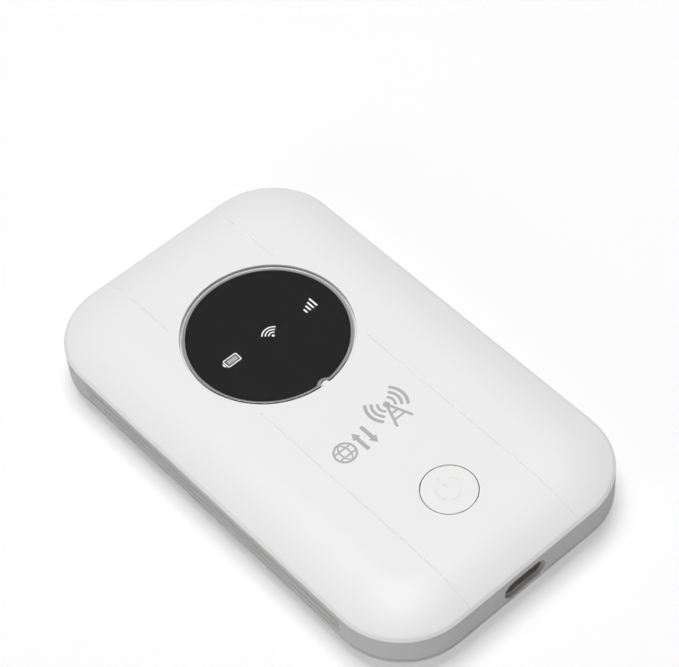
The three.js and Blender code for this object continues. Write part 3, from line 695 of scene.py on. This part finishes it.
def groove_cutter(x, end_y, stop_y):
    """A soft-edged V groove that follows the crown from the outline to its stop by the window."""
    inward = math.copysign(1, stop_y - end_y)
    # One flank as (share of GROOVE_HALF, height), mirrored about the groove's bottom.
    flank = [(1.7, 0.3), (1.7, 0.008), (1, -0.03), (0.5, -0.13)]
    section = [(-GROOVE_HALF * a, b) for a, b in flank] + [(0, -0.17)]
    section += [(GROOVE_HALF * a, b) for a, b in reversed(flank)]
    outside = 0.6
    bevel_foot = crown_top(EDGE_BEVEL) - EDGE_BEVEL
    stations = [(-outside, bevel_foot - outside), (EDGE_BEVEL, crown_top(EDGE_BEVEL))]
    stations += [(d, crown_top(d)) for d in spread(EDGE_BEVEL, CROWN_REACH, 14)[1:]]
    stations.append((abs(stop_y - end_y), HEIGHT))
    loops = [[(x + a, end_y + inward * d, z + b) for a, b in section] for d, z in stations]
    return Form().loft(loops)


def shell_blank():
    """The shell without its openings: lofted up inside, round the rim and back over the crown."""
    foot = crown_top(EDGE_BEVEL) - EDGE_BEVEL
    rim = WALL_TOP_Z + PARTING
    edge_end, crown_start = 1.1, 1.5
    edge = rounded([
        (SHELL_RIM_T, crown_top(SHELL_RIM_T) - SKIN, 0), (SHELL_RIM_T, rim, 0.08), (0, rim, 0.02),
        (0, foot, 0.05), (EDGE_BEVEL, crown_top(EDGE_BEVEL), 0.16), (edge_end, crown_top(edge_end), 0),
    ])
    loops = [outline_loop(d, crown_top(d) - SKIN) for d in reversed(spread(SHELL_RIM_T, CROWN_REACH, 8))]
    loops += [outline_loop(d, z) for d, z in edge[1:]]
    loops += [outline_loop(d, crown_top(d)) for d in spread(crown_start, CROWN_REACH, 20)]
    return Form().loft(loops).make("front_case")


def front_shell():
    boss_r, boss_z = 2.2, (8.75, 10.6)
    pilot_r, pilot_z = 0.95, (8, 10.2)
    shell = shell_blank()
    combine(shell, post(0, WINDOW_Y, WINDOW_R + WINDOW_RIM, *WINDOW_RIM_Z), "UNION")
    for x, y in SCREWS:
        combine(shell, post(x, y, boss_r, *boss_z, 32), "UNION")
        combine(shell, post(x, y, pilot_r, *pilot_z, 24))
    combine(shell, window_cutter())
    combine(shell, post(0, WINDOW_Y, WINDOW_HOLE_R, UNDER_SHELL_Z, HEIGHT))
    combine(shell, button_cutter())
    reach = math.sqrt(GROOVE_STOP_R**2 - GROOVE_X**2)
    for x in (-GROOVE_X, GROOVE_X):
        combine(shell, groove_cutter(x, -HALF_L, WINDOW_Y - reach))
        combine(shell, groove_cutter(x, HALF_L, WINDOW_Y + reach))
    return shell


finish_piece(front_shell(), "white_case", "case", ["front_shell"])


# ---- Rear housing ----
def wall_blank():
    """The side wall: one closed section, ribbed on the long sides, run round the outline."""
    edge, rib_steps = 0.1, 44
    chamfer, foot_round, above_ribs = 0.2, 0.03, 0.15
    rib_foot, rib_top = WALL_FOOT_Z + edge, RIB_CREST_Z + 0.3
    round_z = WALL_FOOT_Z + foot_round
    loops = [
        outline_loop(WALL_T - edge, WALL_FOOT_Z),
        outline_loop(RIB_PANEL_INSET + edge + chamfer, WALL_FOOT_Z, rib_at(WALL_FOOT_Z) - chamfer),
        outline_loop(foot_round, round_z, rib_at(round_z) - foot_round),
    ]
    for k in range(rib_steps + 1):
        z = rib_foot + (rib_top - rib_foot) * k / rib_steps
        loops.append(outline_loop(0, z, rib_at(z)))
    loops.append(outline_loop(0, rib_top + above_ribs))
    for inset, z in rounded([
        (0, WALL_PLAIN_Z, 0), (0, WALL_TOP_Z, 0.02), (WALL_T, WALL_TOP_Z, edge), (WALL_T, WALL_PLAIN_Z, 0),
    ]):
        loops.append(outline_loop(inset, z))
    loops.append(outline_loop(WALL_T, rib_foot))
    return Form().loft(loops, joined=True).make("rear_case")


def inner_floor():
    """The floor that closes the wall's foot, with a low lip round its edge."""
    reach, lip_inner, soft = 1.55, 2.5, 0.12
    low, lip_top = LEDGE_Z[0], LEDGE_Z[1] + 0.9
    profile = rounded([
        (lip_inner, low, 0), (reach, low, soft), (reach, lip_top, soft),
        (lip_inner, lip_top, soft), (lip_inner, LEDGE_Z[1], 0),
    ], 3)[1:]
    return Form().loft([outline_loop(inset, z) for inset, z in profile])


def pit(x0, x1, y0, y1, radius, high, lip=0.25):
    """A pocket up into the inner floor's lower face, with a rounded mouth."""
    low, straight = LEDGE_Z[0], 0.8
    loops = [rounded_rect(x0, x1, y0, y1, radius, low - BEYOND, lip)]
    for a, z in rounded([(lip * 2, low, 0), (0, low, lip), (0, low + straight, 0)])[1:]:
        loops.append(rounded_rect(x0, x1, y0, y1, radius, z - OFF_PLANE, a))
    loops.append(rounded_rect(x0, x1, y0, y1, radius, high))
    return Form().loft(loops)


def screw_bore(x, y):
    """A sunk seat for the screw's head over a hole for its shank."""
    head_r, seat_z, shank_r, lip, flare = 1.95, 5.0, 1.0, 0.2, 0.05
    low, face = LEDGE_Z[0], LEDGE_Z[0] - OFF_PLANE
    mouth = rounded([(head_r + 1, face, 0), (head_r, face, lip), (head_r, seat_z, 0), (shank_r, seat_z, 0)])
    profile = [(head_r + lip + flare, low - BEYOND)] + mouth[1:] + [(shank_r, OPEN_Z)]
    return Form().loft(lathe(x, y, profile, 40))


def port_cutter():
    lip, face, depth = 0.12, -HALF_L, 3
    loops = [stadium(*PORT_CUT, y, lip) for y in (face - BEYOND, face - OFF_LIP)]
    for a, y in rounded([(lip * 2, face, 0), (0, face, lip), (0, face + 1, 0)])[1:]:
        if a < lip:
            loops.append(stadium(*PORT_CUT, y, a))
    loops.append(stadium(*PORT_CUT, face + depth))
    return Form().loft(loops)


def rear_housing():
    """The wall and floor, with bays, screw bosses, slots and the socket's opening worked into them."""
    low, block_r, block_rise, boss_rise = LEDGE_Z[0], 0.7, 0.01, 0.02
    body = wall_blank()
    combine(body, inner_floor(), "UNION")
    for bay, top in ((BAY, BAY_ROOF_Z[1]), (SIM_BAY, SIM_WALL_TOP_Z)):
        block = [rounded_rect(*bay, block_r, z, BAY_WALL) for z in (low + block_rise, top)]
        combine(body, Form().loft(block), "UNION")
    combine(body, pit(*BAY, BAY_CORNER_R, BAY_ROOF_Z[0]))
    combine(body, pit(*SIM_BAY, BAY_CORNER_R, OPEN_Z))
    boss_r, boss_top_z = 2.6, 7.75
    for x, y in SCREWS:
        combine(body, post(x, y, boss_r, low + boss_rise, boss_top_z, 40), "UNION")
        combine(body, screw_bore(x, y))
    block_x = (BLOCK_LOW.x - BLOCK_GAP, BLOCK_HIGH.x + BLOCK_GAP)
    overlap = 0.1
    block_y = (BAY[3] - overlap, BLOCK_HIGH.y + BLOCK_GAP)
    combine(body, pit(*block_x, *block_y, radius=0.3, high=OPEN_Z, lip=0.1))
    slot = (HALF_W - CLIP_INSET[0] + SLOT_GAP[0], HALF_W - CLIP_INSET[1] - SLOT_GAP[1])
    slot_half, slot_top_z = CLIP_HALF + SLOT_GAP[1], LEDGE_Z[1] + 0.5
    for side in (-1, 1):
        for y in CLIP_Y:
            xs = sorted(side * x for x in slot)
            combine(body, pit(*xs, y - slot_half, y + slot_half, radius=0.2, high=slot_top_z, lip=0.08))
    combine(body, port_cutter())
    return body


finish_piece(rear_housing(), "white_case", "case", ["rear_housing"])


# ---- Back cover ----
COVER_RIM_Z = 3.95
COVER_RIM_T = 1.3
COVER_SKIN = 1.2


def cover_blank():
    """The cover without its tabs: lofted down outside, round the rim and back inside."""
    crown_start, toe, toe_rise, soft = 1.2, 0.4, 0.55, 0.09
    inner_start = 3
    rim = rounded([
        (crown_start, crown_base(crown_start), 0), (toe, crown_base(toe), 0.3),
        (0, crown_base(toe) + toe_rise, 0.3), (0, COVER_RIM_Z, soft),
        (COVER_RIM_T, COVER_RIM_Z, soft), (COVER_RIM_T, crown_base(COVER_RIM_T) + COVER_SKIN, 0),
    ], 5)
    loops = [outline_loop(d, crown_base(d)) for d in reversed(spread(crown_start, CROWN_REACH, 22))]
    loops += [outline_loop(d, z) for d, z in rim[1:]]
    loops += [outline_loop(d, crown_base(d) + COVER_SKIN) for d in spread(inner_start, CROWN_REACH, 8)]
    return Form().loft(loops).make("rear_cover")


def back_cover():
    cover = cover_blank()
    tab_sections = ((2.4, 0), (5.45, 0), (5.6, -0.1))  # height, and how far the section grows
    for side in (-1, 1):
        for y in CLIP_Y:
            xs = sorted(side * (HALF_W - inset) for inset in CLIP_INSET)
            tab = [rounded_rect(*xs, y - CLIP_HALF, y + CLIP_HALF, 0.15, z, g) for z, g in tab_sections]
            combine(cover, Form().loft(tab), "UNION")
    notch_x, notch_y = HALF_W + 0.6, 30
    notch = rounded([(0.9, 2.7, 0), (1.5, 3.3, 0.25), (1.5, 5, 0)])
    combine(cover, Form().loft(lathe(notch_x, notch_y, notch, 48)))
    return cover


finish_piece(back_cover(), "white_case", "cover", ["back_cover"])


# ---- Window ----
LENS_R = LENS_HIGH.x
LENS_BITE = KEY_R + 0.25
TAPE_INSET = 0.1
MASK_BITE = KEY_R + 0.95


def keyed_plate(name, radius, bite, low, high, bevel):
    """A round plate with a bite out of its near edge."""
    loops = []
    for inset, z in rounded([
        (bevel * 2, low, 0), (0, low, bevel), (0, high, bevel), (bevel * 2, high, 0),
    ])[1:-1]:
        loops.append(keyed_loop(radius - inset, bite + inset, z))
    return Form().loft(loops).make(name)


def display_lens():
    """The clear lens, with its side faces dark: painted shade for the shadowed gap round it."""
    lens = keyed_plate("window_lens", LENS_R, LENS_BITE, LENS_LOW.z, LENS_HIGH.z, 0.09)
    finish_piece(lens, "clear_lens", "case", ["display_lens"])
    lens.data.materials.append(LENS_EDGE_SHADE.material)
    side_tilt = 0.2  # a side face's normal rises by less than this
    # upright faces take the dark painted shade
    for face in lens.data.polygons:
        face.material_index = int(abs(face.normal.z) < side_tilt)


def display_mask():
    mask = keyed_plate("window_print", MASK_HIGH.x, MASK_BITE, MASK_LOW.z, MASK_HIGH.z, 0.02)
    finish_piece(mask, "black_mask", "case", ["display_mask"])


def lens_tape():
    low, high = span("lens_tape")
    tape = keyed_plate("window_tape", LENS_R - TAPE_INSET, LENS_BITE + TAPE_INSET, low.z, high.z, 0.02)
    combine(tape, post(0, WINDOW_Y, WINDOW_HOLE_R + TAPE_INSET, low.z - BEYOND, high.z + BEYOND))
    finish_piece(tape, "grey_tape", "case", ["lens_tape"])


display_lens()
display_mask()
lens_tape()


# ---- Flat shapes for printed symbols ----
def plate(form, outline, low, thickness):
    """Adds a flat shape drawn by its outline."""
    return form.loft([[(x, y, low + t) for x, y in outline] for t in (0, thickness)])


def band(x, y, radius, start, end, width, cap_steps=8, steps=26):
    """Outline of a curved stroke with round ends; angles in degrees."""
    half = width / 2

    def side(reach):
        return [point[:2] for point in arc_path(x, y, reach, start, end, 0, steps)]

    def cap(angle, turn):
        middle = arc_path(x, y, radius, angle, angle, 0, 1)[0]
        return [point[:2] for point in arc_path(*middle[:2], half, turn, turn + 180, 0, cap_steps)][1:-1]

    return side(radius + half) + cap(end, end) + side(radius - half)[::-1] + cap(start, start + 180)


def pill(x0, y0, x1, y1, width, steps=10):
    """Outline of a straight stroke with round ends."""
    along = math.atan2(y1 - y0, x1 - x0)
    points = []
    for (x, y), base in (((x1, y1), along - math.pi / 2), ((x0, y0), along + math.pi / 2)):
        for k in range(steps + 1):
            a = base + math.pi * k / steps
            points.append((x + width / 2 * math.cos(a), y + width / 2 * math.sin(a)))
    return points


def disc(x, y, radius, steps=40):
    return [(p[0], p[1]) for p in circle(x, y, radius, 0, steps)]


def flat_rect(x0, x1, y0, y1, radius):
    return [(p[0], p[1]) for p in rounded_rect(x0, x1, y0, y1, radius, 0)]


def frame_ring(form, outer, inner, low, thickness):
    """Adds a flat ring between two outlines of as many points each."""
    loops = [[(x, y, low) for x, y in outer], [(x, y, low + thickness) for x, y in outer]]
    loops += [[(x, y, low + thickness) for x, y in inner], [(x, y, low) for x, y in inner]]
    return form.loft(loops, joined=True)


# ---- Status symbols printed under the lens ----
SYMBOL_LAYER = (MASK_HIGH.z + 0.012, 0.02)  # where the ink starts, and its thickness


def symbol(form, name, ink):
    finish_piece(form.make(name), "milky_film", "case", look=ink)


def wireless_symbol():
    centre, dot_r, spread_angle, stroke = (0.49, 16.0), 0.27, 50, 0.25
    form = plate(Form(), disc(*centre, dot_r), *SYMBOL_LAYER)
    for radius in (0.78, 1.4, 2.0):
        plate(form, band(*centre, radius, 90 - spread_angle, 90 + spread_angle, stroke), *SYMBOL_LAYER)
    symbol(form, "wireless_symbol", WHITE_INK_GLOW)


def battery_symbol():
    """A battery's outline with a terminal at its left, and the charge inside."""
    x0, x1, y0, y1 = -9.85, -6.77, 15.98, 17.85

    def inner(inset, radius):
        return flat_rect(x0 + inset, x1 - inset, y0 + inset, y1 - inset, radius)

    form = frame_ring(Form(), inner(0, 0.3), inner(0.22, 0.12), *SYMBOL_LAYER)
    plate(form, flat_rect(x0 - 0.42, x0 - 0.12, y0 + 0.52, y1 - 0.5, 0.12), *SYMBOL_LAYER)
    symbol(form, "battery_symbol", WHITE_INK_GLOW)
    symbol(plate(Form(), inner(0.45, 0.1), *SYMBOL_LAYER), "battery_level_symbol", PALE_INK)


def signal_symbol():
    foot, width = 15.82, 0.33
    form = Form()
    for x, top in ((8.3, 16.5), (9.08, 16.92), (9.84, 17.32), (10.62, 17.68)):
        plate(form, pill(x, foot, x, top, width), *SYMBOL_LAYER)
    symbol(form, "signal_symbol", WHITE_INK_GLOW)


wireless_symbol()
battery_symbol()
signal_symbol()


# ---- Power button ----
def power_button():
    """A cap on a wide flange and a short stub, with a power sign sunk into its top."""
    top, low = BUTTON_HIGH.z - PRINT_T, BUTTON_LOW.z
    stub_r, flange_r, soft = 1.4, BUTTON_R + 0.9, 0.06
    flange_low, flange_top = low + 0.2, low + 0.6
    profile = rounded([
        (stub_r - 0.5, low, 0), (stub_r, low, soft), (stub_r, flange_low, 0), (flange_r, flange_low, soft),
        (flange_r, flange_top, soft), (BUTTON_R, flange_top, 0),
        (BUTTON_R, top, 0.16), (BUTTON_R - 1.2, top, 0),
    ], 5)
    cap = Form().loft(lathe(0, BUTTON_Y, profile, 144)).make("power_cap")
    cut_r, depth = 0.22, 0.11
    sign_y, sign_r, half_gap = -29.9, 2.3, 43
    z = top + cut_r - depth
    stroke = [(0, sign_y + reach, z) for reach in (2.95, 1.7, 0.6)]
    ring = arc_path(0, sign_y, sign_r, 90 + half_gap, 90 + 360 - half_gap, z)
    for path in (stroke, ring):
        combine(cap, Form().loft(tube(path, cut_r)))
    return cap


finish_piece(power_button(), "button_cap", "power_key", ["power_button"], crease=20)


# ---- Generic printed symbols on the top: a globe, two arrows and a transmitting mast ----
INK_SINK = 0.004
INK_LOW = HEIGHT - INK_SINK
INK_T = PRINT_T + INK_SINK
INK_STEP = 0.001  # strokes that cross others are this much thinner


def arrow(x, y0, y1, width):
    """Outline of an arrow from y0 to its tip at y1."""
    way = math.copysign(1, y1 - y0)
    neck, half = y1 - way * width * 0.85, width * 0.22
    return [(x - half, y0), (x + half, y0), (x + half, neck), (x + width / 2, neck),
            (x, y1), (x - width / 2, neck), (x - half, neck)]


def add_globe(form, x, y, radius):
    """A ring with two meridians and two parallels."""
    rim, bulge, meridian, steps = 0.42, 1.0, 0.34, 24
    parallel_at, parallel_half = 0.75, 0.17
    frame_ring(form, disc(x, y, radius), disc(x, y, radius - rim), INK_LOW, INK_T)
    for sign in (-1, 1):
        angles = [math.radians(-90 + 180 * k / steps) for k in range(1, steps)]
        outer = [(x + sign * bulge * math.cos(a), y + (radius - 0.4) * math.sin(a)) for a in angles]
        inner = [(px - sign * meridian, py) for px, py in reversed(outer)]
        plate(form, outer + inner, INK_LOW, INK_T - INK_STEP)
    for dy in (-parallel_at, parallel_at):
        reach = math.sqrt((radius - 0.3) ** 2 - dy * dy)
        line = flat_rect(x - reach, x + reach, y + dy - parallel_half, y + dy + parallel_half, 0.05)
        plate(form, line, INK_LOW, INK_T - 2 * INK_STEP)


def add_mast(form, x, head, foot):
    """A mast on two legs with waves to both sides of its head."""
    leg_width, half_angle, bar_half = 0.5, 38, 0.2
    neck_half, neck_drop, foot_half = 0.28, 0.7, 1.75
    for sign, middle in ((-1, 180), (1, 0)):
        leg = pill(x + sign * neck_half, head - neck_drop, x + sign * foot_half, foot, leg_width)
        plate(form, leg, INK_LOW, INK_T)
        for radius, width in ((1.55, 0.5), (2.65, 0.56), (3.75, 0.62)):
            wave = band(x, head, radius, middle - half_angle, middle + half_angle, width)
            plate(form, wave, INK_LOW, INK_T)
    for drop, half in ((2.1, 0.72), (3.4, 1.18)):
        bar = flat_rect(x - half, x + half, head - drop - bar_half, head - drop + bar_half, 0.05)
        plate(form, bar, INK_LOW, INK_T - INK_STEP)
    plate(form, disc(x, head, 0.62), INK_LOW, INK_T)


def printed_symbols():
    form = Form()
    add_globe(form, -7.55, -12.15, 2.2)
    low, high, width = -14.4, -9.9, 1.7
    plate(form, arrow(-4.1, low, high, width), INK_LOW, INK_T)
    plate(form, arrow(-2.0, high, low, width), INK_LOW, INK_T)
    add_mast(form, 4.4, -9.5, -14.1)
    return form.make("printed_symbols")


finish_piece(printed_symbols(), "grey_tape", "case", look=GREY_INK)


# ---- Charging socket ----
def socket_shell():
    """The steel shell, lofted out from its inner back wall, round the mouth and back outside."""
    width, height = PORT_HIGH.x - PORT_LOW.x, PORT_HIGH.z - PORT_LOW.z
    wall, back_wall = 0.3, 0.9
    front, back = PORT_LOW.y, PORT_HIGH.y
    profile = rounded([
        (wall, back - back_wall, 0), (wall, front, 0.14), (0, front, 0.12), (0, back, 0.1), (1, back, 0),
    ])[:-1]
    return Form().loft([stadium(width, height, y, -inset) for inset, y in profile]).make("socket_can")


def socket_contacts():
    """Two rows of contact pads on the tongue's faces."""
    start, length, half, thickness = 0.25, 3.95, 0.13, 0.01
    per_row, pitch = 12, 0.5
    front = span("socket_tongue")[0].y + start
    pads = Form()
    for z in (PORT_Z - 0.36, PORT_Z + 0.35):
        for k in range(per_row):
            x = PORT_X + (k - (per_row - 1) / 2) * pitch
            pads.loft([
                rounded_rect(x - half, x + half, front, front + length, 0.04, z + t) for t in (0, thickness)
            ])
    return pads.make("socket_contacts")


finish_piece(socket_shell(), "socket_steel", "case", ["socket_shell"])
refine("socket_tongue", "black_plastic", "case", 0.07, TONGUE_RESIN)
finish_piece(socket_contacts(), "gold_contact", "case")


# ---- Pieces inside the case ----
def numbered(name, count):
    return [f"{name}_{k + 1}" for k in range(count)]


for nodes, slot, body, bevel in (
    (["light_shield"], "black_plastic", "case", 0.08),
    (["light_diffuser"], "milky_film", "case", 0.03),
    (["led_battery", "led_wireless", "led_signal"], "led_body", "case", 0.06),
    (["power_switch_body"], "steel_can", "case", 0.12),
    (["power_switch_plunger"], "black_plastic", "power_plunger", 0.08),
    (["main_board"], "board", "case", 0.06),
    (["baseband_shield", "radio_shield"], "steel_can", "case", 0.1),
    (["baseband_chip", "radio_chip"], "chip_epoxy", "case", 0.08),
    (["power_amplifier"], "chip_epoxy", "case", 0.06),
    (["memory_chip"], "chip_epoxy", "case", 0.08),
    (["charger_chip"], "chip_epoxy", "case", 0.06),
    (["crystal"], "steel_can", "case", 0.1),
    (["inductor"], "chip_epoxy", "case", 0.25),
    (["sim_holder"], "steel_can", "case", 0.06),
    (["sim_base"], "black_plastic", "case", 0.03),
    (["sim_card"], "sim_plastic", "sim", 0.06),
    (["reset_switch_body"], "steel_can", "case", 0.1),
    (["reset_plunger"], "black_plastic", "reset_key", 0.06),
    (["battery_cap"], "black_plastic", "battery", 0.15),
    (numbered("battery_contact", 3), "gold_contact", "battery", 0.03),
    (["contact_block"], "black_plastic", "case", 0.12),
    (numbered("contact_spring", 3), "gold_contact", "case", 0.03),
    (["main_antenna", "diversity_antenna", "wireless_antenna"], "gold_contact", "case", 0.04),
    (numbered("case_screw", 4), "screw_steel", "case", 0.06),
):
    for node in nodes:
        refine(node, slot, body, bevel)


def battery_cell():
    """A pouch cell in film, round along its long edges, with its ends folded in."""
    low, high = BATTERY_LOW, BATTERY_HIGH
    radius, steps = 1.4, 10
    loops = []
    for inset, y in rounded([
        (0.9, low.y, 0), (0, low.y, 0.5), (0, high.y, 0.3), (0.5, high.y, 0),
    ]):
        section = rounded_rect(low.x, high.x, low.z, high.z, radius, 0, -inset, steps)
        loops.append([(x, y, z) for x, z, _ in section])
    return Form().loft(loops).make("battery_pouch")


finish_piece(battery_cell(), "battery_wrap", "battery", ["battery_cell"])


# ---- Floor ----
FLOOR_GLOW = 0.42  # keeps the paper pale where the hotspot shades it
FLOOR_BOUNCE = 0.55  # how much light the paper sends back up onto the case's sides
FLOOR_HALF = 3000
FLOOR_T = 20


def make_floor():
    corners = [(x * FLOOR_HALF, y * FLOOR_HALF) for x, y in ((-1, -1), (1, -1), (1, 1), (-1, 1))]
    floor = plate(Form(), corners, -FLOOR_T, FLOOR_T).make("floor")
    look = Surface("paper_floor", (0.55, 0.55, 0.55), 0.85)
    look.vary_roughness(4, 0.05).grain(0.6, 0.004)
    seen = look.mix(look.remap(look.noise(60, 4), 0, 1), (0.545, 0.545, 0.545), look.base)
    path = look.tree.nodes.new("ShaderNodeLightPath")
    look.colour(look.mix(path.outputs["Is Camera Ray"], (FLOOR_BOUNCE,) * 3, seen))
    glow = look.maths("MULTIPLY", path.outputs["Is Camera Ray"], FLOOR_GLOW)
    look.link(glow, look.shader.inputs["Emission Strength"])
    look.set(Emission_Color=(1, 1, 1, 1))
    floor.data.materials.append(look.material)


make_floor()
